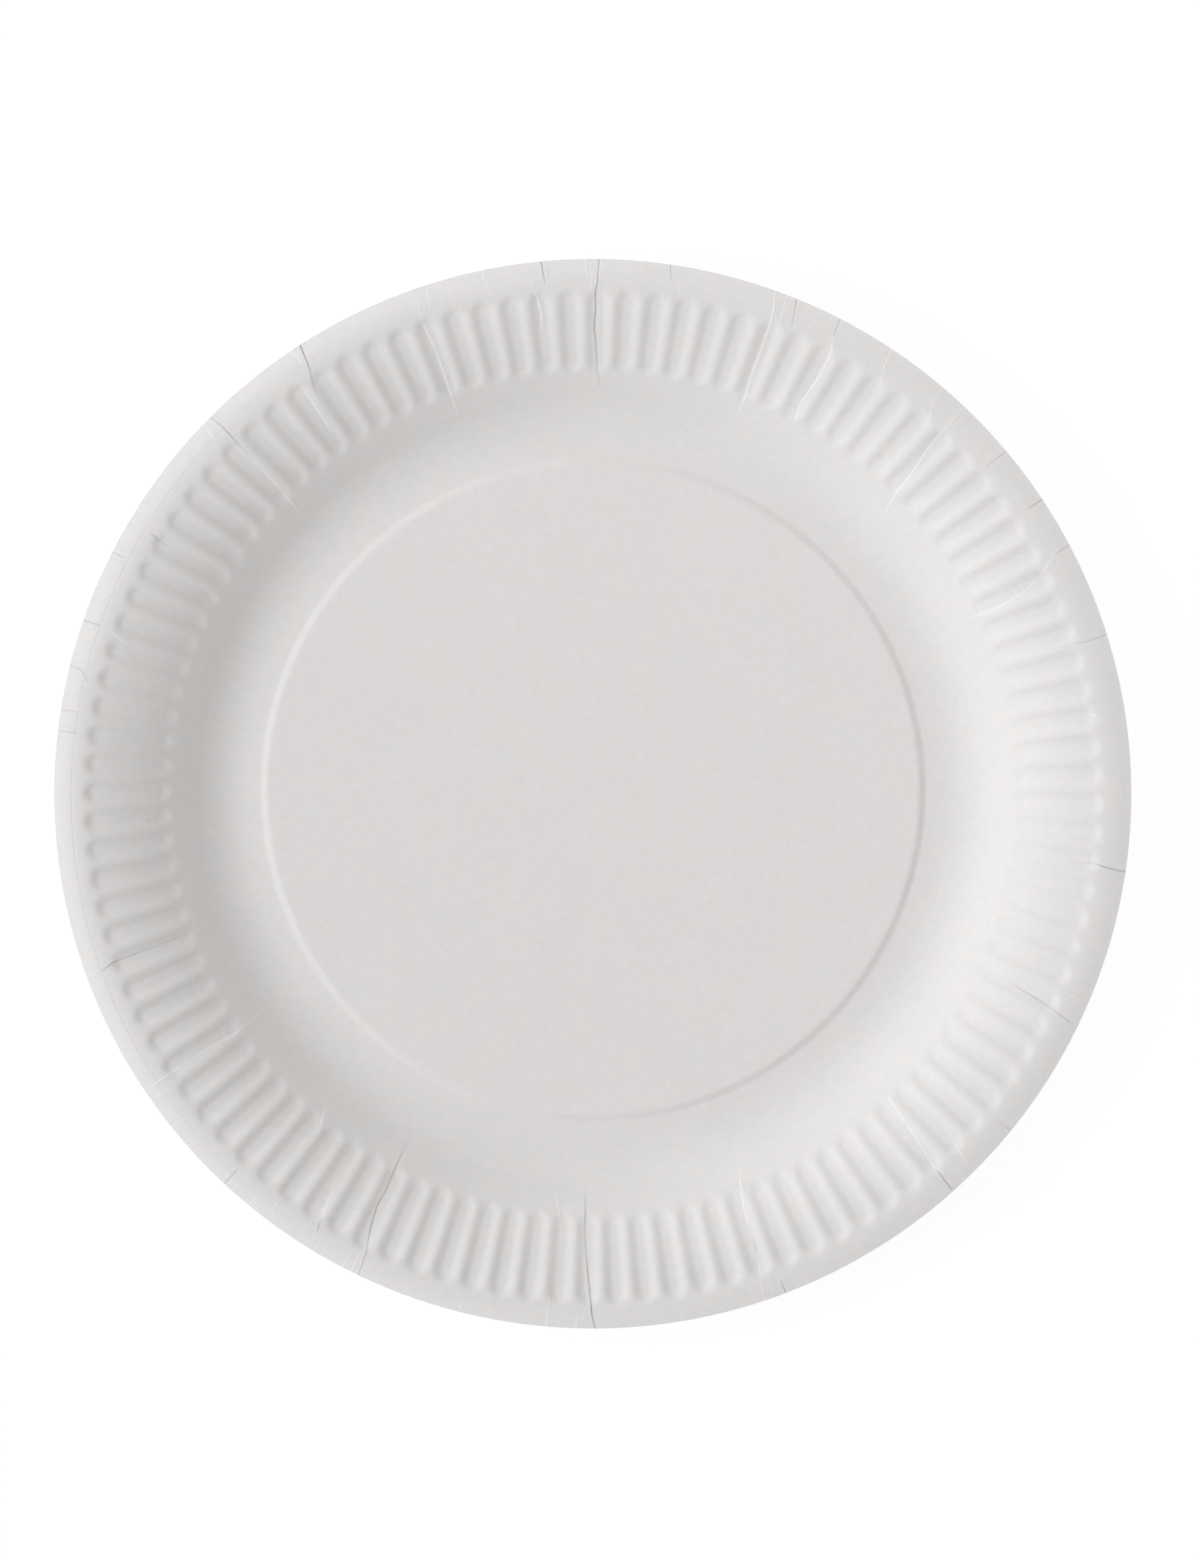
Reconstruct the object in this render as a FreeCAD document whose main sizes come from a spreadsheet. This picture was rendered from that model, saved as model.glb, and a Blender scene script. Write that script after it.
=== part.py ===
import FreeCAD, Part
import os
import Sketcher

# A round paper plate pressed from one disc of board, with a ring of flutes in its wall.
# The plate stands on its foot ring at Z = 0, and its axis is Z.
# It is made as one sector with one flute in its middle, and the sector is repeated about
# the axis. A sector is narrow enough to be straight across: its corners at the rim lie
# 0.05 mm outside the plate's circle. Round stretches of the section are struck as short
# straight bands.

# Driving sizes, in millimetres and degrees
SIZES = [
    ("plate_diameter", 230.0),
    ("board_thickness", 0.5),
    ("floor_rise", 0.7),
    ("step_width", 2.0),
    ("foot_width", 3.0),
    ("cove_radius", 15.9),
    ("wall_run", 5.0),
    ("wall_angle", 42.6),
    ("shoulder_radius", 34.2),
    ("shoulder_end_angle", 8.6),
    ("crest_radius", 14.0),
    ("lip_angle", 18.7),
    ("flute_count", 108),
    ("flute_width", 3.5),
    ("flute_bottom_width", 1.5),
    ("flute_depth", 0.8),
    ("flute_ramp_angle", 35.0),
    ("flute_lead", 1.45),
    ("flute_tail", 1.45),
    ("first_flute_angle", 2.7),
]

# Bends that stand for the cove's arc, and chords that stand for the two arcs above it
COVE_BENDS = 3
SHOULDER_BANDS = 2
CREST_BANDS = 3

# How far the blank and the cutting outlines reach past the board, in millimetres
OVERRUN = 0.4
BLANK_MARGIN = 8.0

# Expressions that several outlines share
THICKNESS = "Sizes.board_thickness"
WALL = "Sizes.wall_angle"
END = "Sizes.shoulder_end_angle"
STEP_ANGLE = "atan(Sizes.floor_rise / Sizes.step_width)"
CREST_TURN = f"({END} + Sizes.lip_angle)"
CREST_R = "(Sizes.plate_diameter / 2 - Sizes.crest_radius * sin(Sizes.lip_angle))"
SHOULDER_END_R = f"({CREST_R} - Sizes.crest_radius * sin({END}))"
SHOULDER_CENTRE_R = f"({SHOULDER_END_R} + Sizes.shoulder_radius * sin({END}))"
COVE_END_R = f"({SHOULDER_CENTRE_R} - Sizes.shoulder_radius * sin({WALL}) - Sizes.wall_run)"
FOOT_R = f"({COVE_END_R} - Sizes.cove_radius * sin({WALL}))"
FLOOR_R = f"({FOOT_R} - Sizes.foot_width - Sizes.step_width)"
WALL_TOP_Z = (
    f"({THICKNESS} + Sizes.cove_radius * (1 - cos({WALL})) + Sizes.wall_run * tan({WALL}))"
)
SHOULDER_CENTRE_Z = f"({WALL_TOP_Z} - Sizes.shoulder_radius * cos({WALL}))"
BLANK_Z = f"({SHOULDER_CENTRE_Z} + Sizes.shoulder_radius + {BLANK_MARGIN})"
SIDE_R = f"(Sizes.plate_diameter / 2 + {BLANK_MARGIN})"
BLANK_WIDTH = f"(3 * {SIDE_R} * tan(180 / Sizes.flute_count))"
BAND_TURN = f"(({WALL} - {END}) / {SHOULDER_BANDS})"
FLUTE_SIDE = "atan(2 * Sizes.flute_depth / (Sizes.flute_width - Sizes.flute_bottom_width))"


def sizes_sheet(doc):
    sheet = doc.addObject("Spreadsheet::Sheet", "Sizes")
    for row, (alias, value) in enumerate(SIZES, start=1):
        sheet.set(f"A{row}", alias)
        sheet.set(f"B{row}", str(value))
        sheet.setAlias(f"B{row}", alias)
    doc.recompute()
    return sheet


def origin_feature(body, role):
    return next(f for f in body.Origin.OriginFeatures if f.Role == role)


class Outline:
    """A sketch of straight runs, each as long and as steep as its expressions say."""

    def __init__(self, body, name, role="XZ_Plane"):
        self.sketch = body.newObject("Sketcher::SketchObject", name)
        self.sketch.AttachmentSupport = (origin_feature(body, role), [""])
        self.sketch.MapMode = "FlatFace"
        self.point = None
        self.first = None

    def value(self, expression):
        result = self.sketch.evalExpression(str(expression))
        return float(getattr(result, "Value", result))

    def bind(self, kind, references, expression):
        value = self.value(expression)
        if kind == "Angle":
            value = FreeCAD.Units.Quantity(f"{value} deg").getValueAs("rad").Value
        index = self.sketch.addConstraint(Sketcher.Constraint(kind, *references, value))
        self.sketch.setExpression(f"Constraints[{index}]", str(expression))

    def begin(self, across, up):
        self.start = (across, up)
        self.point = FreeCAD.Vector(self.value(across), self.value(up), 0)
        self.first = self.point

    def line(self, end):
        geometry = Part.LineSegment(self.point, end)
        index = self.sketch.addGeometry(geometry, False)
        if index > 0:
            joint = Sketcher.Constraint("Coincident", index - 1, 2, index, 1)
            self.sketch.addConstraint(joint)
        else:
            self.pin(index, 1, *self.start)
        self.point = end
        return index

    def pin(self, index, which, across, up):
        self.bind("DistanceX", (-1, 1, index, which), across)
        self.bind("DistanceY", (-1, 1, index, which), up)

    def run(self, length, slope):
        """A straight run on from the last point, at a slope in degrees above the X axis."""
        turn = FreeCAD.Rotation(FreeCAD.Vector(0, 0, 1), self.value(slope))
        step = turn.multVec(FreeCAD.Vector(self.value(length), 0, 0))
        index = self.line(self.point + step)
        self.bind("Distance", (index,), length)
        self.bind("Angle", (index,), slope)

    def reach(self, across, up):
        """A straight line on to a point with these coordinates."""
        end = FreeCAD.Vector(self.value(across), self.value(up), 0)
        self.pin(self.line(end), 2, across, up)

    def close(self):
        index = self.line(self.first)
        self.sketch.addConstraint(Sketcher.Constraint("Coincident", index, 2, 0, 1))

    def chords(self, radius, first_slope, turn, count, last_extra="0"):
        """Chords of an arc that starts at first_slope and bends by turn."""
        chord = f"2 * ({radius}) * sin(abs({turn}) / {2 * count})"
        for band in range(count):
            extra = last_extra if band == count - 1 else "0"
            self.run(f"{chord} + {extra}", f"{first_slope} + {turn} * {band + 0.5} / {count}")


def board_line(outline, below, overrun):
    """The board's section from the axis to the rim, lying below the top face by below."""
    shift = f"{below} * tan({STEP_ANGLE} / 2)"
    outline.reach(f"{FLOOR_R} - {shift}", f"{THICKNESS} + Sizes.floor_rise - {below}")
    outline.run(f"Sizes.step_width / cos({STEP_ANGLE})", f"-{STEP_ANGLE}")
    tangent = f"(Sizes.cove_radius + {below}) * tan({WALL} / {2 * COVE_BENDS})"
    outline.run(f"Sizes.foot_width + {shift} + {tangent}", "0")
    for bend in range(1, COVE_BENDS):
        outline.run(f"2 * {tangent}", f"{WALL} * {bend} / {COVE_BENDS}")
    outline.run(f"Sizes.wall_run / cos({WALL}) + {tangent}", WALL)
    outline.chords(f"Sizes.shoulder_radius - {below}", WALL, f"({END} - {WALL})", SHOULDER_BANDS)
    outline.chords(f"Sizes.crest_radius - {below}", END, f"(-{CREST_TURN})", CREST_BANDS, overrun)


def sector_blank(body):
    """One sector of the plate with its underside formed, and still solid above."""
    outline = Outline(body, "underside_section")
    outline.begin("0", "Sizes.floor_rise")
    board_line(outline, THICKNESS, "0")
    outline.run(f"{THICKNESS} + {OVERRUN}", "90 - Sizes.lip_angle")
    outline.reach(f"Sizes.plate_diameter / 2 + {OVERRUN} * sin(Sizes.lip_angle)", BLANK_Z)
    outline.reach("0", BLANK_Z)
    outline.close()
    blank = body.newObject("PartDesign::Pad", "blank")
    blank.Profile = outline.sketch
    blank.SideType = "Symmetric"
    blank.setExpression("Length", BLANK_WIDTH)
    return blank


def sector_side(body, name, side):
    """Takes away the blank beyond the plane that parts this sector from the next one."""
    outline = Outline(body, f"{name}_plan", "XY_Plane")
    outline.begin("0", "0")
    outline.reach(SIDE_R, f"{side} * {SIDE_R} * tan(180 / Sizes.flute_count)")
    outline.reach(SIDE_R, f"{side} * {BLANK_WIDTH}")
    outline.reach(f"-{OVERRUN}", f"{side} * {BLANK_WIDTH}")
    outline.reach(f"-{OVERRUN}", "0")
    outline.close()
    return through_pocket(body, name, outline.sketch)


def through_pocket(body, name, sketch):
    pocket = body.newObject("PartDesign::Pocket", name)
    pocket.Profile = sketch
    pocket.SideType = "Symmetric"
    pocket.Type = "ThroughAll"
    return pocket


def dish_cut(body):
    """Takes away all that lies above the board."""
    outline = Outline(body, "top_section")
    outline.begin(f"-{OVERRUN}", f"{THICKNESS} + Sizes.floor_rise")
    board_line(outline, "0", str(BLANK_MARGIN))
    outline.reach(f"Sizes.plate_diameter / 2 + {BLANK_MARGIN}", f"{BLANK_Z} + {OVERRUN}")
    outline.reach(f"-{OVERRUN}", f"{BLANK_Z} + {OVERRUN}")
    outline.close()
    return through_pocket(body, "dish", outline.sketch)


def flute_path(body, name, deep, below, rise):
    """The line of a flute's bottom: a ramp down, one run for each shoulder band, a ramp up."""
    slopes = [f"{WALL} - {BAND_TURN} * {band + 0.5}" for band in range(SHOULDER_BANDS)]
    chord = f"2 * (Sizes.shoulder_radius - {deep}) * sin({BAND_TURN} / 2)"
    ramp = f"{rise} / sin(Sizes.flute_ramp_angle)"
    shift = f"{below} * tan(Sizes.flute_ramp_angle / 2)"
    lead = f"(Sizes.flute_lead - {shift})"
    radius = f"(Sizes.shoulder_radius - {deep})"
    down = f"({slopes[0]} - Sizes.flute_ramp_angle)"
    across = f"{SHOULDER_CENTRE_R} - {radius} * sin({WALL}) + {lead} * cos({slopes[0]})"
    up = f"{SHOULDER_CENTRE_Z} + {radius} * cos({WALL}) + {lead} * sin({slopes[0]})"
    start = (f"{across} - {ramp} * cos({down})", f"{up} - {ramp} * sin({down})")
    path = Outline(body, name)
    path.begin(*start)
    path.run(ramp, down)
    for band, slope in enumerate(slopes):
        length = chord
        if band == 0:
            length = f"{length} - {lead}"
        if band == SHOULDER_BANDS - 1:
            length = f"{length} - (Sizes.flute_tail - {shift})"
        path.run(length, slope)
    path.run(ramp, f"{slopes[-1]} + Sizes.flute_ramp_angle")
    return path.sketch, start


def flute_section(body, name, start, half_bottom, tall):
    """The flute's section, broad at the bottom and wider above, at the start of its path."""
    across, up = start
    half_top = f"{half_bottom} + {tall} / tan({FLUTE_SIDE})"
    section = Outline(body, name, "YZ_Plane")
    section.sketch.setExpression("AttachmentOffset.Base.z", across)
    section.begin(f"-({half_bottom})", up)
    section.reach(half_bottom, up)
    section.reach(half_top, f"{up} + {tall}")
    section.reach(f"-({half_top})", f"{up} + {tall}")
    section.close()
    return section.sketch


def swept_flute(body, kind, name, below, rise, tall):
    """One flute's section swept along its path, to add board or to take it away."""
    deep = f"(Sizes.flute_depth + {below})"
    half_bottom = f"Sizes.flute_bottom_width / 2 + {below} * tan({FLUTE_SIDE} / 2)"
    path, start = flute_path(body, f"{name}_path", deep, below, rise)
    section = flute_section(body, f"{name}_section", start, half_bottom, tall)
    flute = body.newObject(f"PartDesign::{kind}Pipe", name)
    flute.Profile = section
    flute.Spine = (path, [f"Edge{i + 1}" for i in range(SHOULDER_BANDS + 2)])
    flute.Transition = "Right corner"
    return flute


def paper_plate(doc, sheet):
    body = doc.addObject("PartDesign::Body", "paper_plate")
    body.Label = "paper_plate"
    sector_blank(body)
    sector_side(body, "left_side", 1)
    sector_side(body, "right_side", -1)
    doc.recompute()
    cut_height = f"(Sizes.flute_depth + {OVERRUN})"
    swept_flute(body, "Additive", "rib", THICKNESS, f"(Sizes.flute_depth + {THICKNESS})", cut_height)
    dish_cut(body)
    swept_flute(body, "Subtractive", "flute", "0", cut_height, cut_height)
    doc.recompute()
    ring = body.newObject("PartDesign::PolarPattern", "sectors")
    ring.TransformMode = "Whole shape"
    ring.Axis = (origin_feature(body, "Z_Axis"), [""])
    ring.Angle = 360
    ring.setExpression("Occurrences", "Sizes.flute_count")
    body.Tip = ring
    turn = FreeCAD.Rotation(FreeCAD.Vector(0, 0, 1), sheet.first_flute_angle)
    body.Placement = FreeCAD.Placement(FreeCAD.Vector(0, 0, 0), turn)
    return body


def check_document(doc):
    for item in doc.Objects:
        bad = [word for word in item.State if word in ("Invalid", "Error")]
        if bad:
            raise RuntimeError(f"{item.Name} is {bad}")


def write_part(body):
    shape = body.Shape
    if shape.isNull() or not shape.isValid() or len(shape.Solids) != 1:
        raise RuntimeError(f"{body.Label} is not one valid solid")
    box = shape.BoundBox
    print(f"{body.Label}: {shape.Volume:.0f} mm3, {len(shape.Faces)} faces")
    print(f"box {box.XLength:.1f} x {box.YLength:.1f} x {box.ZLength:.1f}, lowest {box.ZMin:.3f}")
    shape.exportStep(os.path.join("parts", f"{body.Label}.step"))


def main():
    os.makedirs("parts", exist_ok=True)
    doc = FreeCAD.newDocument("plate")
    sheet = sizes_sheet(doc)
    body = paper_plate(doc, sheet)
    doc.recompute()
    check_document(doc)
    write_part(body)


main()
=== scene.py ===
"""A white paper plate, dressed for the camera.

One pressed sheet of board replaces the plain solid: the same section, with soft flutes, a cut edge that is
a little off centre, the creases that the pressing left, and a fibrous matt surface. Lengths are in metres.
"""

import math
from collections import namedtuple

import bpy
import numpy as np
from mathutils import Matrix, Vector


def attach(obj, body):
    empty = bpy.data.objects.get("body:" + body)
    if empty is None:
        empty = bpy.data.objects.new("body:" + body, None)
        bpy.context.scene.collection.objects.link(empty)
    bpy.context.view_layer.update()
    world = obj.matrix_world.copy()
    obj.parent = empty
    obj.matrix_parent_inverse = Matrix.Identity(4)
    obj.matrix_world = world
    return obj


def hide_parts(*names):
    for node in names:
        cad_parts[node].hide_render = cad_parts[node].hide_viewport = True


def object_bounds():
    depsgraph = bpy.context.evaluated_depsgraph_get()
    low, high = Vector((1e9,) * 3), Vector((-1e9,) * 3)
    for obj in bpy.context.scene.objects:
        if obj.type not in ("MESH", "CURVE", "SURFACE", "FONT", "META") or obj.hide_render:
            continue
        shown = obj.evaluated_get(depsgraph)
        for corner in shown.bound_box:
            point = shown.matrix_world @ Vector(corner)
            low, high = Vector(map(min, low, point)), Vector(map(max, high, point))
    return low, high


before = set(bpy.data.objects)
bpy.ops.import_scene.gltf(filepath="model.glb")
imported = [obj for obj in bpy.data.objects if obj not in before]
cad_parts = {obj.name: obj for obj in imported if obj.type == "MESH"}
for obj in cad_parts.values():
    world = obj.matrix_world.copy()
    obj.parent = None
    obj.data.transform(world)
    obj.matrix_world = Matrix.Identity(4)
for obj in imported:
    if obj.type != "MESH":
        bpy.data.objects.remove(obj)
cad_low, cad_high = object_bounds()

MM = 0.001

# The section of the board, read outwards from the axis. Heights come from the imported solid.
BOARD = 0.5 * MM
FLOOR_RISE = 0.7 * MM
STEP_RADIUS = 70.65 * MM
STEP_WIDTH = 2.1 * MM
FOOT_RADIUS = 74.7 * MM
COVE_BEND = 15.9 * MM
WALL_SLOPE = math.radians(41.9)
SHOULDER_BEND = 36.0 * MM
SHOULDER_END_SLOPE = math.radians(12.6)
CREST_RADIUS = 110.2 * MM
CREST_BEND = 14.0 * MM
LIP_BEND = 11.5 * MM
LIP_SLOPE = math.radians(16.5)

# The flutes: grooves pressed into the wall, with round closed ends. The press bore down unevenly, so they
# are shallowest on one side, and their outer ends lie nearer the axis on the far side.
FLUTES = 108
FIRST_FLUTE = math.radians(2.7)
FLUTE_INNER_END = 91.1 * MM
FLUTE_OUTER_END = 108.3 * MM
FLUTE_END_SHIFT = 0.36 * MM
FLUTE_DEPTH_INSIDE = 0.52 * MM
FLUTE_DEPTH_OUTSIDE = 0.81 * MM
FLUTE_DEPTH_SWING = 0.11 * MM
SHALLOW_SIDE = math.radians(52)
FLUTE_FLAT = 0.2
FLUTE_INNER_TAPER = 2.8 * MM
FLUTE_OUTER_TAPER = 3.2 * MM
FLUTE_BLUNTNESS = 2.0
FLUTE_DRIFT = math.radians(0.25)
FLUTE_SKEW = math.radians(0.09)

# The cut edge isn't quite centred on the pressing, and is a little wider across than along.
EDGE_RADIUS = 115.0 * MM
EDGE_OFFSET = (-0.08 * MM, 0.34 * MM)
EDGE_OVAL = 0.25 * MM

# The photograph: its scale at the rim, and the pixel at which the view's centre on the plate is seen.
PHOTO_WIDTH, PHOTO_HEIGHT = 1200, 1557
PHOTO_SCALE = 0.2140 * MM
VIEW_CENTRE = (-0.14 * MM, 0.55 * MM)
VIEW_CENTRE_PIXEL = (592.5, 793.5)
LEAN = math.radians(4.16)
CAMERA_DISTANCE = 6.0
SENSOR = 36.0

# The board's surface, and the grain in it: how many waves a metre holds, and how strongly each shows. The
# plate's flat floor also gets a painted warm light, a little more red.
BOARD_COLOUR = (0.788, 0.774, 0.766)
BOARD_SPECULAR = 0.25
BOARD_ROUGHNESS = 0.8
ROUGHNESS_SWING = 0.3
FIBRE_WAVES = 1900.0
FIBRE_SHADE = 0.060
FIBRE_RELIEF = 0.010 * MM
MOTTLE_WAVES = 600.0
MOTTLE_SHADE = 0.090
CLOUD_WAVES = 60.0
CLOUD_SHADE = 0.035
WARM_GRAIN_WAVES = 900.0
WARM_GRAIN = 0.13
WARM_CLOUD_WAVES = 130.0
WARM_CLOUD = 0.06
FLOOR_PAINTED_WARM_LIGHT = 0.022
COOLING = 0.65

# Painted light and painted shade in bands round the plate, for how the light falls on its slopes: where the
# board is painted a little paler or darker, how far either side, and by how much.
COVE_START = 77.0 * MM
COVE_MIDDLE = 80.0 * MM
COVE_REACH = 5.0 * MM
COVE_PAINTED_SHADE = -0.016
WALL_MIDDLE = 89.0 * MM
WALL_REACH = 7.0 * MM
WALL_PAINTED_LIGHT = 0.026
SHOULDER_MIDDLE = 103.0 * MM
SHOULDER_REACH = 7.0 * MM
SHOULDER_PAINTED_SHADE = -0.020
LIP_PAINTED_LIGHT = 0.065

# The dark specks, with radii as shares of their spacing, and the thin line that the die left on the lip: a
# shallow groove with painted shade along it. The line fades in towards the left, between two shares of the
# way across.
SPECK_SPACING = 5.0 * MM
SPECK_SHARE = 0.02
SPECK_SMALLEST = 0.015
SPECK_SIZE_SWING = 0.03
SPECK_SHADE = -0.25
DIE_LINE = 111.6 * MM
DIE_LINE_WIDTH = 0.12 * MM
DIE_LINE_FADE = (-0.2, -0.95)
DIE_LINE_PAINTED_SHADE = -0.05
DIE_LINE_RELIEF = -0.04 * MM

# The studio is a room that is brighter towards its sides: how bright above, and how much more at the sides.
ROOM_COLOUR = (1.035, 0.995, 0.975, 1)
SKY_TOP = 0.212
SKY_SIDES = 0.90
SKY_FALLOFF = 3.0

# The floor: half its side, how far below the plate it lies, its paint, and the white light that the camera
# sees in its place, with that light's share.
FLOOR_REACH = 4.0
FLOOR_GAP = 0.1 * MM
FLOOR_PAINT = (0.9, 0.9, 0.9, 1)
FLOOR_LIGHT = 1.03
FLOOR_LIGHT_SHARE = 0.93
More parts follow.
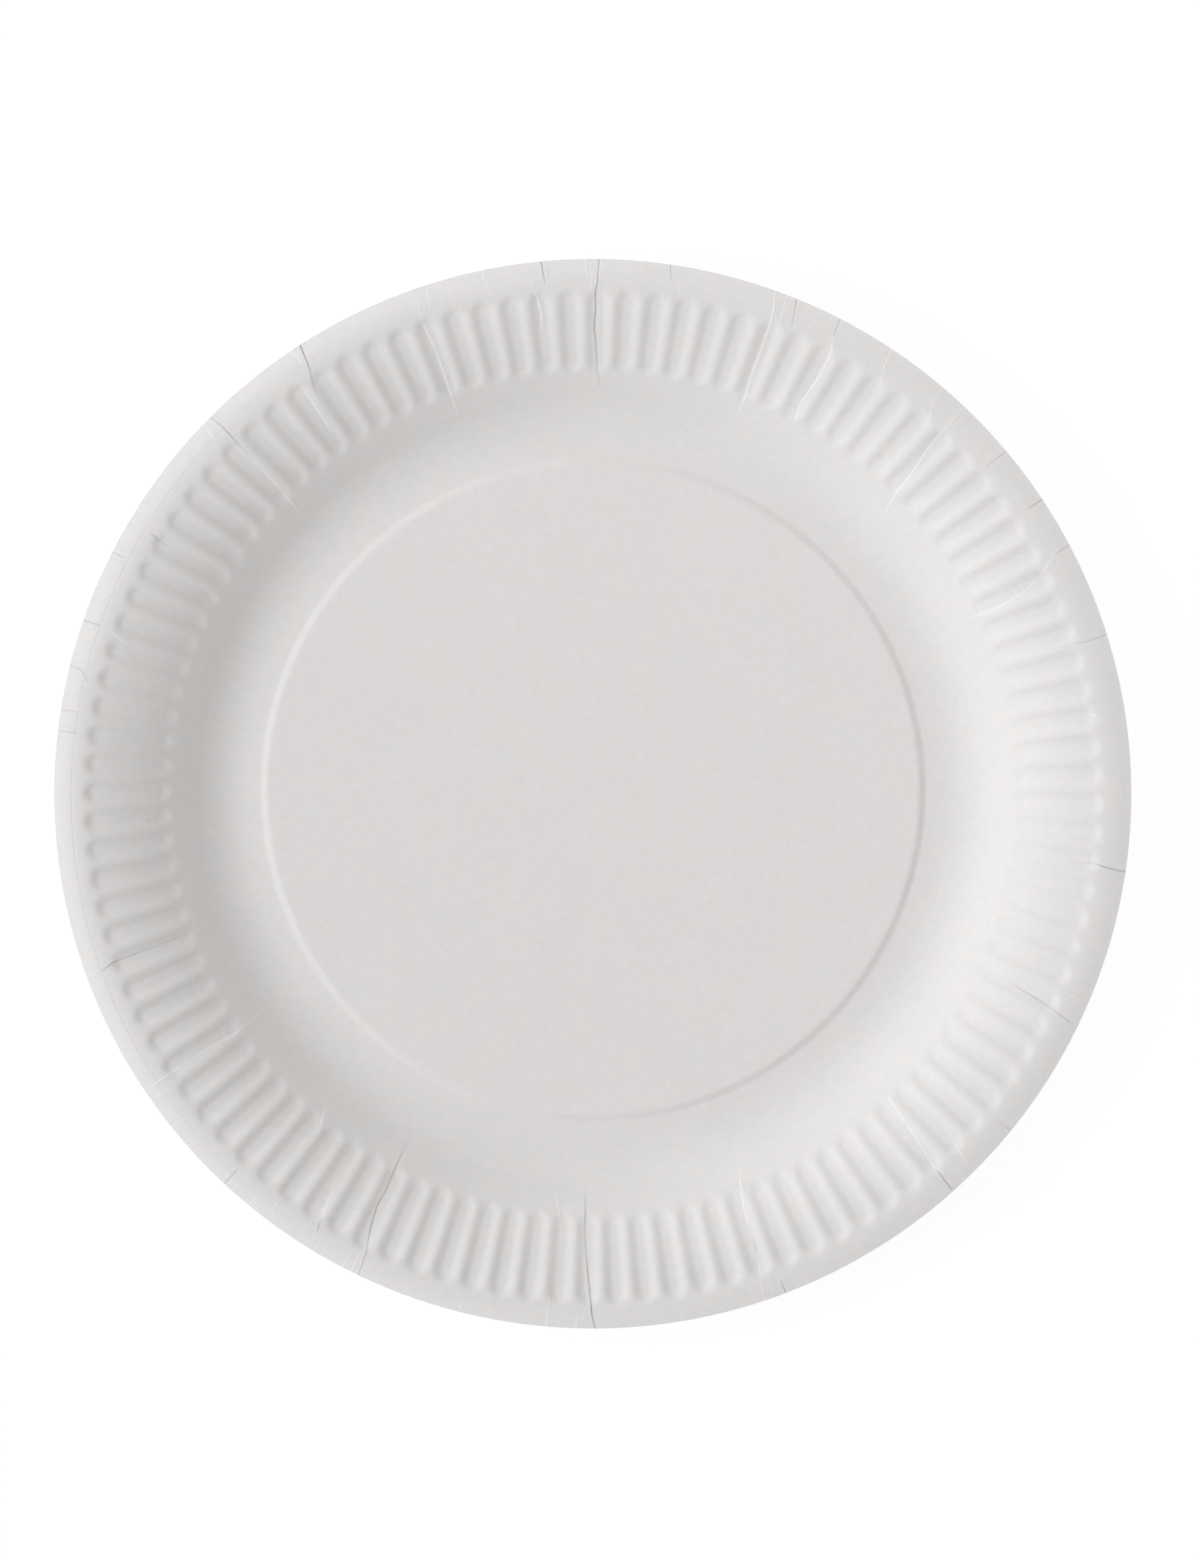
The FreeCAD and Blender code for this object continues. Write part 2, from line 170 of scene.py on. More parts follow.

# Creases that the pressing left in the rim, listed one by one. Each is a line of places, from the edge
# inwards:
# an angle in degrees and a radius in millimetres, as the photograph shows them about the view's centre, and
# how plain the crease is there, from 1 where it is pale to -1 where it is dark.
CREASES = (
    ((8.4, 110.5, 0.1), (8.9, 108.4, 0.8), (9.2, 107.0, 0.1)),
    ((17.3, 115.8, -0.3), (17.1, 111.3, -0.3), (17.5, 102.7, -0.1)),
    ((27.6, 115.8, -0.3), (27.4, 111.8, -0.4), (27.2, 110.9, 0.6), (26.4, 108.0, 0.7), (26.0, 106.5, 0.1),
     (25.5, 104.9, 0.3), (25.2, 103.0, 0.8), (24.6, 95.9, 0.9), (25.0, 87.3, 0.2)),
    ((33.2, 115.8, -0.6), (33.2, 111.5, -0.3)),
    ((39.6, 115.8, -0.4), (39.7, 109.8, -0.2)),
    ((40.4, 115.8, 0.3), (40.3, 111.5, 0.2)),
    ((46.1, 115.8, 0.3), (46.0, 109.5, 0.5), (45.9, 103.4, 0.6), (45.4, 99.5, 0.7), (45.0, 95.9, 1.0),
     (44.8, 91.6, 0.8), (43.6, 85.6, 0.2)),
    ((49.4, 115.8, 0.5), (48.9, 111.3, 0.4), (48.4, 109.0, 0.7), (47.8, 106.6, 0.1)),
    ((56.1, 115.8, 0.6), (55.6, 110.5, 0.7), (55.4, 109.5, 0.3), (55.0, 106.5, 0.2)),
    ((62.6, 115.8, -0.4), (62.3, 111.0, -0.3), (62.1, 109.8, 0.5), (61.6, 107.5, 0.9), (61.5, 101.2, 0.8),
     (62.0, 94.2, 1.0), (61.4, 90.5, 0.3)),
    ((67.8, 115.8, -0.6), (67.0, 108.7, -0.2)),
    ((68.6, 115.8, 0.4), (68.3, 106.6, 0.3)),
    ((70.2, 115.8, 0.6), (69.4, 110.2, 0.9), (69.2, 101.7, 0.8), (69.2, 95.9, 0.7), (69.0, 91.0, 0.9),
     (69.0, 86.5, 0.3)),
    ((80.3, 110.8, 0.2), (80.1, 108.0, 0.3)),
    ((81.8, 115.8, -0.5), (81.4, 111.3, -0.3)),
    ((89.0, 115.8, 0.5), (89.2, 110.5, 0.4)),
    ((89.3, 115.8, -0.4), (89.5, 109.0, -0.5), (89.7, 107.6, -0.8), (89.6, 103.5, -0.9), (89.8, 100.0, -0.9),
     (89.5, 95.0, -0.7), (89.4, 91.0, -0.5), (89.1, 88.0, -0.3)),
    ((90.4, 115.8, -0.4), (90.1, 110.5, 0.4), (90.1, 108.0, 0.2)),
    ((90.8, 115.8, 0.5), (90.6, 110.5, 0.4)),
    ((95.6, 115.8, -0.7), (95.5, 112.0, -0.6), (95.4, 110.0, -0.3)),
    ((96.9, 110.2, 0.2), (96.4, 107.0, 0.6), (96.1, 102.7, 0.9), (96.3, 99.0, 0.2)),
    ((102.0, 115.8, 0.6), (101.8, 111.5, 0.5), (101.6, 109.1, 0.1)),
    ((108.4, 115.8, -0.5), (108.2, 112.5, 0.5), (108.6, 109.1, 0.2)),
    ((109.4, 115.8, -0.5), (109.6, 111.0, 0.3), (109.9, 107.6, 0.4), (109.7, 104.0, 0.7), (109.5, 101.2, 0.6),
     (109.5, 95.0, 1.0), (109.6, 86.2, 0.3)),
    ((116.4, 115.8, 0.4), (117.2, 110.6, 0.2)),
    ((123.0, 115.8, -1.0), (123.6, 109.8, -0.6), (124.6, 104.4, -0.3)),
    ((124.3, 115.8, 0.8), (124.0, 111.0, 0.5)),
    ((125.5, 108.7, 0.3), (125.6, 102.3, 0.8), (125.7, 98.0, 0.6), (126.1, 95.0, 0.1)),
    ((135.5, 115.8, -0.3), (135.3, 111.5, -0.5), (135.4, 104.9, -0.6), (135.5, 100.0, 0.3),
     (135.7, 95.0, 0.5), (135.9, 91.0, 0.6), (136.3, 87.0, 0.2)),
    ((136.3, 115.8, 0.7), (136.8, 110.9, 0.4)),
    ((147.8, 115.8, 0.5), (148.0, 111.3, 0.4)),
    ((149.6, 109.1, -0.5), (149.8, 105.9, -0.3)),
    ((153.3, 115.8, -0.2), (153.3, 112.7, -0.4), (153.3, 111.4, 0.4)),
    ((161.2, 115.8, -0.5), (161.2, 111.7, -0.4)),
    ((161.4, 109.0, 0.1), (161.9, 106.6, 0.8), (162.5, 103.0, 0.1)),
    ((166.2, 115.8, -0.3), (166.4, 112.5, -0.3), (167.4, 111.0, -0.3)),
    ((171.0, 115.8, -0.3), (171.0, 111.5, -0.2)),
    ((173.3, 115.8, -0.3), (173.3, 111.5, -0.3)),
    ((200.0, 115.8, 0.4), (199.9, 111.9, -0.2), (199.4, 109.0, -0.7), (199.3, 101.0, -0.4),
     (199.2, 95.0, -0.3), (199.0, 88.0, 0.2)),
    ((205.4, 114.5, 0.4), (205.4, 112.0, 0.2)),
    ((213.6, 114.5, 0.2), (213.6, 112.0, 0.8), (213.5, 109.0, 0.7), (213.4, 105.0, 0.4), (213.5, 98.0, 0.6),
     (213.9, 93.0, 0.9), (213.5, 86.2, 0.3)),
    ((214.8, 113.5, 0.4), (214.8, 111.3, 0.2)),
    ((218.5, 115.2, 0.7), (218.5, 112.3, 0.4)),
    ((226.6, 115.8, -0.4), (226.6, 111.0, -0.3)),
    ((230.2, 114.5, 0.5), (230.2, 112.3, 0.2)),
    ((231.0, 93.1, 0.6), (228.9, 86.2, 0.2)),
    ((232.5, 112.4, 0.5), (232.5, 107.6, 0.3)),
    ((237.7, 115.8, -0.3), (237.9, 112.0, 0.4), (237.6, 109.5, -0.7), (237.4, 107.0, 0.5),
     (236.4, 99.7, 0.3)),
    ((238.7, 115.5, 0.5), (238.7, 112.5, 0.3)),
    ((242.2, 114.8, 0.6), (242.4, 111.5, 0.3)),
    ((243.3, 115.2, 0.6), (243.2, 109.5, 0.4)),
    ((244.1, 115.8, -0.3), (243.7, 109.5, -0.4), (242.9, 104.4, -0.9), (242.4, 99.5, -0.8),
     (242.5, 95.9, -0.7), (242.2, 90.0, -0.8), (242.0, 85.2, -0.2)),
    ((251.2, 114.8, 0.4), (251.2, 112.2, 0.2)),
    ((255.6, 115.2, 0.4), (255.6, 111.3, 0.3)),
    ((265.1, 115.4, 0.4), (265.1, 109.0, 0.4)),
    ((265.5, 91.0, 0.4), (264.8, 87.3, 0.4)),
    ((268.2, 115.2, 0.5), (268.4, 111.8, 0.4)),
    ((269.0, 115.2, -0.5), (269.1, 112.0, 0.5)),
    ((270.4, 115.8, -0.5), (269.9, 112.0, -0.7), (269.7, 107.0, -1.0), (269.5, 103.8, -0.9),
     (269.2, 98.4, -0.6), (269.0, 94.0, -0.4), (269.0, 90.0, -0.7), (269.0, 85.2, -0.2)),
    ((279.8, 114.8, 0.3), (279.8, 112.4, 0.3)),
    ((288.7, 115.8, 0.5), (289.0, 111.0, 0.4), (289.4, 107.5, 0.5), (289.8, 103.4, -0.4), (289.9, 98.0, 0.3),
     (290.0, 94.8, 0.7), (290.8, 89.5, 0.8), (291.4, 85.6, 0.2)),
    ((290.0, 115.5, -0.5), (290.0, 112.5, 0.4)),
    ((291.1, 115.8, -0.6), (291.1, 112.1, -0.3)),
    ((312.2, 114.0, -0.7), (312.4, 109.5, -0.5), (312.5, 108.1, 0.7), (312.8, 104.4, 0.5), (313.5, 98.4, 0.7),
     (314.1, 91.6, 0.8), (314.5, 90.0, 0.1)),
    ((313.9, 115.2, 0.5), (314.3, 112.0, 0.2)),
    ((315.2, 90.0, 0.2), (315.8, 86.5, 0.4)),
    ((315.5, 112.0, 0.6), (316.0, 108.0, 0.4), (316.5, 103.8, 0.2)),
    ((321.1, 115.8, -0.4), (321.1, 112.1, -0.2)),
    ((334.4, 113.0, -0.4), (335.0, 107.6, -0.4), (335.2, 105.0, -0.8), (335.5, 99.5, -0.5),
     (336.4, 95.9, 0.2)),
    ((337.1, 115.5, 0.2), (337.1, 111.0, 0.5)),
    ((351.6, 115.8, -0.5), (351.8, 110.9, -0.6), (352.1, 108.1, -0.5), (351.8, 103.4, -0.1)),
    ((352.3, 92.0, 0.3), (352.8, 88.4, 0.3)),
)
# Neighbouring creases take turns, so that each layer's lie well apart.
CREASE_LAYERS = 4
CREASE_REACH = 1.4 * MM
CREASE_FADE = 0.8 * MM
CREASE_LINE = 0.16 * MM
CREASE_STEP = 0.07 * MM
CREASE_STEP_REACH = 0.84 * MM
CREASE_RIDGE = 0.8 * MM
# The creases' painted highlight where they are pale and painted shade where they are dark: how much each
# lightens or darkens the board.
CREASE_PAINTED_LIGHT = 0.12
CREASE_PAINTED_SHADE = 0.24

# The fine rings of the mesh: how far they go past the flutes, and how far the finest reach in from there.
FINE_INSIDE = 2.4 * MM
FINE_OUTSIDE = 2.2 * MM
INNER_ENDS = 5.4 * MM
OUTER_ENDS = 5.6 * MM

Span = namedtuple("Span", "start height slope bend end")
Ring = namedtuple("Ring", "radius columns")


def section_spans(crest_height):
    """The top face from the axis to the edge, as straight spans and arcs; a bend above 0 curves upwards."""
    sines = [math.sin(a) for a in (WALL_SLOPE, SHOULDER_END_SLOPE)]
    cosines = [math.cos(a) for a in (WALL_SLOPE, SHOULDER_END_SLOPE)]
    cove_end = FOOT_RADIUS + COVE_BEND * sines[0]
    cove_top = BOARD + COVE_BEND * (1 - cosines[0])
    crest_rise = CREST_BEND * (1 - cosines[1])
    shoulder_rise = SHOULDER_BEND * (cosines[1] - cosines[0])
    shoulder_end = CREST_RADIUS - CREST_BEND * sines[1]
    lip_start = CREST_RADIUS + LIP_BEND * math.sin(LIP_SLOPE)
    wall_end = shoulder_end - SHOULDER_BEND * (sines[0] - sines[1])
    wall_top = crest_height - crest_rise - shoulder_rise
    wall_slope = math.atan2(wall_top - cove_top, wall_end - cove_end)
    return [
        Span(0, BOARD, 0, None, FOOT_RADIUS),
        Span(FOOT_RADIUS, BOARD, 0, COVE_BEND, cove_end),
        Span(cove_end, cove_top, wall_slope, None, wall_end),
        Span(wall_end, wall_top, WALL_SLOPE, -SHOULDER_BEND, shoulder_end),
        Span(shoulder_end, crest_height - crest_rise, SHOULDER_END_SLOPE, -CREST_BEND, CREST_RADIUS),
        Span(CREST_RADIUS, crest_height, 0, -LIP_BEND, lip_start),
        Span(lip_start, crest_height - LIP_BEND * (1 - math.cos(LIP_SLOPE)), -LIP_SLOPE, None, math.inf),
    ]


def section(spans, radius):
    """Height and slope angle of the smooth top face at each radius."""
    height = np.zeros_like(radius)
    slope = np.zeros_like(radius)
    for span in spans:
        inside = (radius >= span.start) & (radius < span.end)
        along = radius[inside] - span.start
        if span.bend is None:
            slope[inside] = span.slope
            height[inside] = span.height + along * math.tan(span.slope)
        else:
            angle = np.arcsin(math.sin(span.slope) + along / span.bend)
            slope[inside] = angle
            height[inside] = span.height + span.bend * (math.cos(span.slope) - np.cos(angle))
    return height, slope


def ease(value):
    """A smooth step from 0 to 1 as the value goes from 0 to 1."""
    return 0.5 - 0.5 * np.cos(np.pi * np.clip(value, 0, 1))


def flute_depth(radius, angle):
    """How far the flutes press the wall in, at each point."""
    pitch = 2 * math.pi / FLUTES
    drift = FLUTE_DRIFT * np.cos(angle) + FLUTE_SKEW * np.sin(2 * angle)
    phase = (angle - FIRST_FLUTE + drift) / pitch
    across = 2 * np.abs(phase - np.round(phase))
    half = 0.5 * (1 + FLUTE_FLAT)
    inner = (FLUTE_INNER_END + half * FLUTE_INNER_TAPER - radius) / FLUTE_INNER_TAPER
    outer_end = FLUTE_OUTER_END - FLUTE_END_SHIFT * np.sin(angle)
    outer = (radius - outer_end + half * FLUTE_OUTER_TAPER) / FLUTE_OUTER_TAPER
    along = np.maximum(np.maximum(inner, outer), 0)
    reach = (across**FLUTE_BLUNTNESS + along**FLUTE_BLUNTNESS) ** (1 / FLUTE_BLUNTNESS)
    share = (radius - FLUTE_INNER_END) / (FLUTE_OUTER_END - FLUTE_INNER_END)
    depth_outside = FLUTE_DEPTH_OUTSIDE - FLUTE_DEPTH_SWING * np.cos(angle - SHALLOW_SIDE)
    deepest = FLUTE_DEPTH_INSIDE + (depth_outside - FLUTE_DEPTH_INSIDE) * np.clip(share, 0, 1) ** 2
    return deepest * (1 - ease((reach - FLUTE_FLAT) / (1 - FLUTE_FLAT)))


def edge_reach(angle):
    """How far the cut edge lies outside the pressed circle, at each angle."""
    offset = EDGE_OFFSET[0] * np.cos(angle) + EDGE_OFFSET[1] * np.sin(angle)
    return offset + EDGE_OVAL * np.cos(2 * angle)


def spaced(start, end, steps):
    """Radii from start to end, the first left out."""
    return [start + (end - start) * (i + 1) / steps for i in range(steps)]


def plate_rings(sparse):
    """The rings of vertices on one face of the board, fine where the flutes are."""
    few, some, many = FLUTES, 4 * FLUTES, 12 * FLUTES
    step_in = STEP_RADIUS - STEP_WIDTH / 2
    step_out = STEP_RADIUS + STEP_WIDTH / 2
    flute_in = FLUTE_INNER_END - FINE_INSIDE
    flute_out = FLUTE_OUTER_END + FINE_OUTSIDE
    middle_in = flute_in + INNER_ENDS
    middle_out = flute_out - OUTER_ENDS
    every = 2 if sparse else 1
    rings = [Ring(r, few) for r in spaced(0, step_in - 2 * MM, 4)]
    rings += [Ring(r, some) for r in [step_in - 0.6 * MM, step_in] + spaced(step_in, step_out, 6)]
    rings += [Ring(r, some) for r in [FOOT_RADIUS] + spaced(FOOT_RADIUS, flute_in - MM, 12 // every)]
    rings += [Ring(r, many) for r in [flute_in] + spaced(flute_in, middle_in, 10 // every)]
    rings += [Ring(r, many) for r in spaced(middle_in, middle_out, 8 // every)]
    rings += [Ring(r, many) for r in spaced(middle_out, flute_out, 10 // every)]
    rings += [Ring(r, many) for r in spaced(flute_out, EDGE_RADIUS, 8 // every)]
    return rings


def face_points(spans, rings, below):
    """The points of one face of the board, ring by ring, each this far below the top face."""
    points = []
    for ring in rings:
        angle = 2 * np.pi * np.arange(ring.columns) / ring.columns
        pull = ((ring.radius - FLUTE_OUTER_END) / (EDGE_RADIUS - FLUTE_OUTER_END)) ** 2
        pull = pull if ring.radius > FLUTE_OUTER_END else 0
        radius = ring.radius + edge_reach(angle) * pull
        height, slope = section(spans, radius)
        step = (STEP_RADIUS + STEP_WIDTH / 2 - radius) / STEP_WIDTH
        height = height + FLOOR_RISE * ease(step)
        sunk = below + flute_depth(radius, angle)
        radius = radius + sunk * np.sin(slope)
        height = height - sunk * np.cos(slope)
        points.append(np.stack([radius * np.cos(angle), radius * np.sin(angle), height], axis=1))
    return points


def ring_faces(inner_start, inner, outer_start, outer):
    """Faces between two rings, where the outer one has as many points as the inner or a multiple of them."""
    ratio = outer // inner
    faces = []
    for k in range(inner):
        last = (k + 1) % inner
        outside = [outer_start + (k * ratio + j) % outer for j in range(ratio + 1)]
        faces.append([inner_start + last, inner_start + k] + outside)
    return faces


def sheet_faces(rings, start):
    """The faces of one side of the board, with a fan at its middle; the first index is the middle point's."""
    first = start + 1
    columns = rings[0].columns
    faces = [[start, first + k, first + (k + 1) % columns] for k in range(columns)]
    for inner, outer in zip(rings, rings[1:]):
        faces += ring_faces(first, inner.columns, first + inner.columns, outer.columns)
        first += inner.columns
    return faces


def plate_mesh(spans):
    """The pressed board as one closed mesh: its top face, its underside and the cut edge between."""
    top_rings = plate_rings(sparse=False)
    under_rings = plate_rings(sparse=True)
    middle = BOARD + FLOOR_RISE
    top = np.concatenate([[[0, 0, middle]]] + face_points(spans, top_rings, 0))
    under = np.concatenate([[[0, 0, middle - BOARD]]] + face_points(spans, under_rings, BOARD))
    faces = sheet_faces(top_rings, 0)
    faces += [face[::-1] for face in sheet_faces(under_rings, len(top))]
    columns = top_rings[-1].columns
    top_edge = len(top) - columns
    under_edge = len(top) + len(under) - columns
    for k in range(columns):
        last = (k + 1) % columns
        faces.append([top_edge + last, top_edge + k, under_edge + k, under_edge + last])
    mesh = bpy.data.meshes.new("plate")
    mesh.from_pydata(np.concatenate([top, under]).tolist(), [], faces)
    mesh.shade_smooth()
    sharpen_edge(mesh, [range(top_edge, top_edge + columns), range(under_edge, under_edge + columns)])
    return mesh


def sharpen_edge(mesh, rings):
    """Marks the two corners of the cut edge as sharp."""
    ends = np.empty(2 * len(mesh.edges), dtype=np.int64)
    mesh.edges.foreach_get("vertices", ends)
    ends = ends.reshape(-1, 2)
    sharp = np.zeros(len(mesh.edges), dtype=bool)
    for ring in rings:
        inside = (ends >= ring.start) & (ends < ring.stop)
        sharp |= inside.all(axis=1)
    mark = mesh.attributes.new("sharp_edge", "BOOLEAN", "EDGE")
    mark.data.foreach_set("value", sharp)


def photo_places(points, centre_height):
    """Each point's angle in degrees and radius about the view's centre, as the leaning camera sees it."""
    across = points[:, 0] - VIEW_CENTRE[0]
    up = (points[:, 1] - VIEW_CENTRE[1]) * math.cos(LEAN)
    up = up - (points[:, 2] - centre_height) * math.sin(LEAN)
    return np.degrees(np.arctan2(up, across)) % 360, np.hypot(across, up)


def crease_layer(creases, angle, radius):
    """For each point, how far it lies across the nearest crease, that crease's painted light and shade there
    (pale above 0, dark below), and its step.
    """
    layer = np.zeros((len(angle), 3))
    layer[:, 0] = CREASE_REACH
    for crease in creases:
        angles, radii, crease_light_and_shade = np.array(crease[::-1]).T
        radii = radii * MM
        line = np.interp(radius, radii, angles)
        offset = np.radians((angle - line + 180) % 360 - 180) * radius
        inner_fade = ease((radius - radii[0]) / CREASE_FADE + 1)
        outer_fade = ease((radii[-1] - radius) / CREASE_FADE + 1)
        crease_lighting = np.interp(radius, radii, crease_light_and_shade) * inner_fade * outer_fade
        near = np.abs(offset) < np.abs(layer[:, 0])
        away = -1 if math.sin(math.radians(angles.mean())) > 0 else 1
        layer[near, 0] = offset[near]
        layer[near, 1] = np.where(crease_lighting > 0, CREASE_PAINTED_LIGHT, CREASE_PAINTED_SHADE)[near] * crease_lighting[near]
        layer[near, 2] = away * CREASE_STEP * crease_lighting[near]
    layer[:, 1:] *= ease(2 - 2 * np.abs(layer[:, :1]) / CREASE_REACH)
    return layer


def add_creases(mesh, centre_height):
    """Writes the creases to the mesh, for the board's material to draw."""
    points = np.empty(3 * len(mesh.vertices))
    mesh.vertices.foreach_get("co", points)
    angle, radius = photo_places(points.reshape(-1, 3), centre_height)
    for number in range(CREASE_LAYERS):
        layer = crease_layer(CREASES[number::CREASE_LAYERS], angle, radius)
        attribute = mesh.attributes.new(f"creases_{number}", "FLOAT_VECTOR", "POINT")
        attribute.data.foreach_set("vector", layer.ravel())


class Network:
    """Short ways to add the nodes of a material or of the world."""

    def __init__(self, tree):
        self.tree = tree

    def node(self, kind, **settings):
        made = self.tree.nodes.new(f"ShaderNode{kind}")
        for name, value in settings.items():
            setattr(made, name, value)
        return made

    def feed(self, value, socket):
        if isinstance(value, bpy.types.NodeSocket):
            self.tree.links.new(value, socket)
        else:
            socket.default_value = value

    def math(self, operation, *values):
        made = self.node("Math", operation=operation)
        for value, socket in zip(values, made.inputs):
            self.feed(value, socket)
        return made.outputs[0]

    def total(self, values):
        result = values[0]
        for value in values[1:]:
            result = self.math("ADD", result, value)
        return result

    def noise(self, place, scale, detail=2.0, roughness=0.5):
        """Noise about 0, from -0.5 to 0.5, with this many waves in a metre."""
        made = self.node("TexNoise")
        self.feed(place, made.inputs["Vector"])
        made.inputs["Scale"].default_value = scale
        made.inputs["Detail"].default_value = detail
        made.inputs["Roughness"].default_value = roughness
        return self.math("SUBTRACT", made.outputs["Fac"], 0.5)

    def band(self, value, middle, width):
        """1 at the middle, falling smoothly to 0 either side."""
        away = self.math("DIVIDE", self.math("SUBTRACT", value, middle), width)
        return self.math("EXPONENT", self.math("MULTIPLY", self.math("MULTIPLY", away, away), -1.0))

    def rise(self, value, start, end):
        """0 before the start, 1 past the end, and smooth between."""
        made = self.node("MapRange", interpolation_type="SMOOTHSTEP")
        self.feed(value, made.inputs["Value"])
        made.inputs["From Min"].default_value = start
        made.inputs["From Max"].default_value = end
        return made.outputs["Result"]


def crease_nodes(net, lip):
    """The creases' painted highlight and painted shade, stronger on the lip, and their height: a step on the
    wall, and a fine ridge on the lip.
    """
    crease_light_and_shade, heights = [], []
    for number in range(CREASE_LAYERS):
        layer = net.node("Attribute", attribute_name=f"creases_{number}")
        split = net.node("SeparateXYZ")
        net.feed(layer.outputs["Vector"], split.inputs[0])
        offset, crease_lighting, step = split.outputs
        line = net.math("MULTIPLY", net.band(offset, 0.0, CREASE_LINE), crease_lighting)
        crease_light_and_shade.append(line)
        side = net.math("TANH", net.math("DIVIDE", offset, CREASE_LINE))
        fading = net.band(offset, 0.0, CREASE_STEP_REACH)
        shape = net.node("Mix")
        net.feed(lip, shape.inputs[0])
        net.feed(net.math("MULTIPLY", net.math("MULTIPLY", side, fading), step), shape.inputs[2])
        net.feed(net.math("MULTIPLY", net.math("ABSOLUTE", line), CREASE_RIDGE), shape.inputs[3])
        heights.append(shape.outputs[0])
    strength = net.math("ADD", lip, 1.0)
    return net.math("MULTIPLY", net.total(crease_light_and_shade), strength), net.total(heights)


def board_material():
    """Uncoated white board: mottled fibre, a few dark specks, the press's marks and the creases, with painted
    light and shade in bands round the plate, along the creases and in the die's line, and painted warm light
    on the flat floor.
    """
    material = bpy.data.materials.new("white_board")
    material.use_nodes = True
    tree = material.node_tree
    net = Network(tree)
    shader = tree.nodes["Principled BSDF"]
    shader.inputs["Specular IOR Level"].default_value = BOARD_SPECULAR

    place = net.node("TexCoord").outputs["Object"]
    split = net.node("SeparateXYZ")
    net.feed(place, split.inputs[0])
    across, up = split.outputs[:2]
    squares = [net.math("MULTIPLY", across, across), net.math("MULTIPLY", up, up)]
    radius = net.math("SQRT", net.total(squares))

    fibre = net.noise(place, FIBRE_WAVES, detail=3.0, roughness=0.65)
    mottle = net.noise(place, MOTTLE_WAVES, detail=3.0, roughness=0.6)
    cloud = net.noise(place, CLOUD_WAVES, detail=3.0)
    flat = net.rise(radius, COVE_MIDDLE, STEP_RADIUS)
    lip = net.rise(radius, FLUTE_OUTER_END - MM, FLUTE_OUTER_END + 2 * MM)
    crease_light_and_shade, steps = crease_nodes(net, lip)
    rough = net.math("MULTIPLY_ADD", mottle, ROUGHNESS_SWING, BOARD_ROUGHNESS)
    net.feed(rough, shader.inputs["Roughness"])

    cell = net.node("TexVoronoi")
    net.feed(place, cell.inputs["Vector"])
    cell.inputs["Scale"].default_value = 1 / SPECK_SPACING
    chosen = net.node("SeparateColor")
    net.feed(cell.outputs["Color"], chosen.inputs[0])
    rare = net.math("GREATER_THAN", chosen.outputs[0], 1 - SPECK_SHARE)
    small = net.math("MULTIPLY_ADD", chosen.outputs[1], SPECK_SIZE_SWING, SPECK_SMALLEST)
    speck = net.math("MULTIPLY", net.math("LESS_THAN", cell.outputs["Distance"], small), rare)

    # The die's line: a shallow groove with painted shade along it, drawn on the left only.
    side = net.math("DIVIDE", across, radius)
    marked = net.rise(side, *DIE_LINE_FADE)
    line = net.math("MULTIPLY", net.band(radius, DIE_LINE, DIE_LINE_WIDTH), marked)

    shade = net.total([
        net.math("MULTIPLY", fibre, FIBRE_SHADE),
        net.math("MULTIPLY", mottle, MOTTLE_SHADE),
        net.math("MULTIPLY", cloud, CLOUD_SHADE),
        # Painted shade at the cove's start and on the shoulder, painted light on the wall's middle and on the
        # lip.
        net.math("MULTIPLY", net.band(radius, COVE_START, COVE_REACH), COVE_PAINTED_SHADE),
        net.math("MULTIPLY", net.band(radius, WALL_MIDDLE, WALL_REACH), WALL_PAINTED_LIGHT),
        net.math("MULTIPLY", net.band(radius, SHOULDER_MIDDLE, SHOULDER_REACH), SHOULDER_PAINTED_SHADE),
        net.math("MULTIPLY", net.rise(radius, FLUTE_OUTER_END, EDGE_RADIUS + MM), LIP_PAINTED_LIGHT),
        net.math("MULTIPLY", speck, SPECK_SHADE),
        net.math("MULTIPLY", line, DIE_LINE_PAINTED_SHADE),
        # The creases' painted highlight and painted shade.
        crease_light_and_shade,
        1.0,
    ])
    warmth = net.total([
        net.math("MULTIPLY", net.noise(place, WARM_GRAIN_WAVES, detail=2.0), WARM_GRAIN),
        net.math("MULTIPLY", net.noise(place, WARM_CLOUD_WAVES, detail=3.0), WARM_CLOUD),
        1.0,
    ])
    # Painted warm light on the flat floor: its red is raised a little, on top of the warm grain.
    grain_and_painted_warm_light = net.math("MULTIPLY_ADD", flat, FLOOR_PAINTED_WARM_LIGHT, warmth)
    coolness = net.math("MULTIPLY_ADD", warmth, -COOLING, 1 + COOLING)
    red = net.math("MULTIPLY", shade, net.math("MULTIPLY", grain_and_painted_warm_light, BOARD_COLOUR[0]))
    green = net.math("MULTIPLY", shade, BOARD_COLOUR[1])
    blue = net.math("MULTIPLY", shade, net.math("MULTIPLY", coolness, BOARD_COLOUR[2]))
    colour = net.node("CombineColor")
    for value, socket in zip((red, green, blue), colour.inputs):
        net.feed(value, socket)
    net.feed(colour.outputs[0], shader.inputs["Base Color"])

    relief = net.total([
        steps,
        net.math("MULTIPLY", fibre, FIBRE_RELIEF),
        net.math("MULTIPLY", line, DIE_LINE_RELIEF),
    ])
    bump = net.node("Bump")
    bump.inputs["Distance"].default_value = 1.0
    net.feed(relief, bump.inputs["Height"])
    net.feed(bump.outputs[0], shader.inputs["Normal"])
    return material


def camera_rays(net):
    """A socket that is 1 for what the camera sees, directly or in a mirror or glass, and 0 for light."""
    path = net.node("LightPath")
    seen = path.outputs["Is Camera Ray"]
    for name in ("Is Glossy Ray", "Is Transmission Ray"):
        seen = net.math("MAXIMUM", seen, path.outputs[name])
    return seen


def show_blend(net, share, first, second, output):
    """Shows the first shader, turning into the second as the share goes from 0 to 1."""
    blend = net.node("MixShader")
    for value, socket in zip((share, first.outputs[0], second.outputs[0]), blend.inputs):
        net.feed(value, socket)
    net.feed(blend.outputs[0], net.node(output).inputs["Surface"])


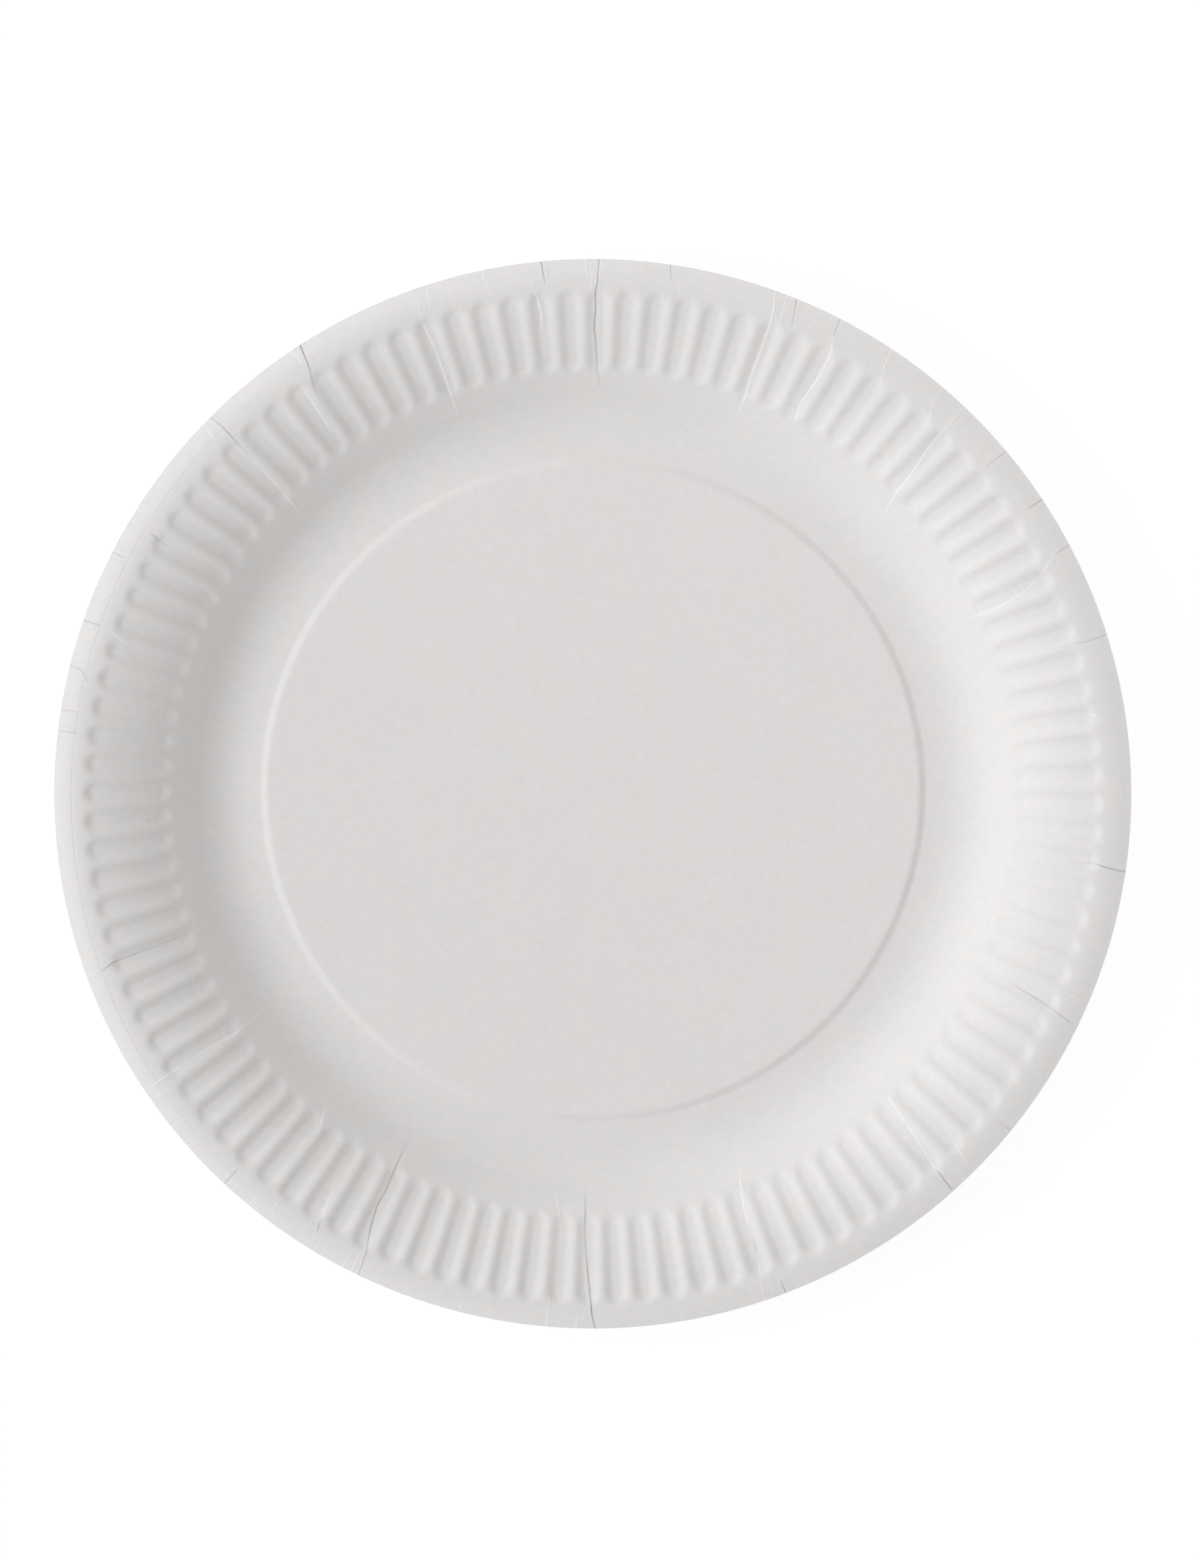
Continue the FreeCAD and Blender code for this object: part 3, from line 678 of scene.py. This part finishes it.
def add_floor(level):
    """A white floor that still takes the plate's faint shadow."""
    mesh = bpy.data.meshes.new("floor")
    side = FLOOR_REACH
    corners = [(-side, -side, level), (side, -side, level), (side, side, level), (-side, side, level)]
    mesh.from_pydata(corners, [], [(0, 1, 2, 3)])
    floor = bpy.data.objects.new("floor", mesh)
    bpy.context.scene.collection.objects.link(floor)
    material = bpy.data.materials.new("floor_white")
    material.use_nodes = True
    material.node_tree.nodes.clear()
    net = Network(material.node_tree)
    paint = net.node("BsdfDiffuse")
    net.feed(FLOOR_PAINT, paint.inputs["Color"])
    white = net.node("Emission")
    net.feed(FLOOR_LIGHT, white.inputs["Strength"])
    share = net.math("MULTIPLY", camera_rays(net), FLOOR_LIGHT_SHARE)
    show_blend(net, share, paint, white, "OutputMaterial")
    mesh.materials.append(material)


def add_world():
    """A soft warm studio room, white where the camera looks past the floor."""
    world = bpy.data.worlds.new("studio")
    bpy.context.scene.world = world
    world.use_nodes = True
    world.node_tree.nodes.clear()
    net = Network(world.node_tree)
    split = net.node("SeparateXYZ")
    net.feed(net.node("TexCoord").outputs["Generated"], split.inputs[0])
    low = net.node("Math", operation="SUBTRACT", use_clamp=True)
    net.feed(1.0, low.inputs[0])
    net.feed(split.outputs["Z"], low.inputs[1])
    falling = net.math("POWER", low.outputs[0], SKY_FALLOFF)
    room = net.node("Background")
    net.feed(ROOM_COLOUR, room.inputs["Color"])
    net.feed(net.math("MULTIPLY_ADD", falling, SKY_SIDES, SKY_TOP), room.inputs["Strength"])
    white = net.node("Background")
    net.feed((1, 1, 1, 1), white.inputs["Color"])
    show_blend(net, camera_rays(net), room, white, "OutputWorld")


def add_lamp(name, azimuth, elevation, distance, size, level, colour):
    """A square soft lamp that faces the plate. Azimuth is from +X towards +Y. At level 1 it alone would
    light a surface that faces it as brightly as the surface's own colour is written."""
    data = bpy.data.lights.new(name, "AREA")
    data.size = size
    data.energy = level * (math.pi * distance) ** 2
    data.color = colour
    lamp = bpy.data.objects.new(name, data)
    bpy.context.scene.collection.objects.link(lamp)
    flat = distance * math.cos(math.radians(elevation))
    turn = math.radians(azimuth)
    up = distance * math.sin(math.radians(elevation))
    lamp.location = (flat * math.cos(turn), flat * math.sin(turn), up)
    lamp.rotation_euler = (-lamp.location).to_track_quat("-Z", "Y").to_euler()


def add_camera(rim_height):
    """The photograph's view: from almost straight above, leaning towards the far side."""
    data = bpy.data.cameras.new("camera")
    camera = bpy.data.objects.new("camera", data)
    bpy.context.scene.collection.objects.link(camera)
    bpy.context.scene.camera = camera
    across = (PHOTO_WIDTH / 2 - VIEW_CENTRE_PIXEL[0]) * PHOTO_SCALE
    up = (VIEW_CENTRE_PIXEL[1] - PHOTO_HEIGHT / 2) * PHOTO_SCALE / math.cos(LEAN)
    target_x = VIEW_CENTRE[0] + across
    target_y = VIEW_CENTRE[1] + up
    camera.location = (
        target_x,
        target_y + CAMERA_DISTANCE * math.sin(LEAN),
        rim_height + CAMERA_DISTANCE * math.cos(LEAN),
    )
    camera.rotation_euler = (-LEAN, 0, 0)
    data.sensor_width = SENSOR
    data.lens = SENSOR * CAMERA_DISTANCE / (PHOTO_HEIGHT * PHOTO_SCALE)
    data.clip_end = 100.0


spans = section_spans(cad_high.z)
rim_height = section(spans, np.array([EDGE_RADIUS]))[0][0]
mesh = plate_mesh(spans)
add_creases(mesh, rim_height)
plate = bpy.data.objects.new("pressed_board", mesh)
bpy.context.scene.collection.objects.link(plate)
mesh.materials.append(board_material())
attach(plate, "root")
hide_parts("paper_plate")

add_camera(rim_height)
add_floor(cad_low.z - FLOOR_GAP)
add_world()
add_lamp("key", azimuth=180, elevation=45, distance=5.0, size=2.4, level=0.64, colour=(0.965, 1.0, 1.03))
add_lamp("overhead", azimuth=45, elevation=60, distance=0.7, size=0.4, level=0.19, colour=(1.02, 1.0, 0.99))
bpy.context.scene.view_settings.view_transform = "Standard"
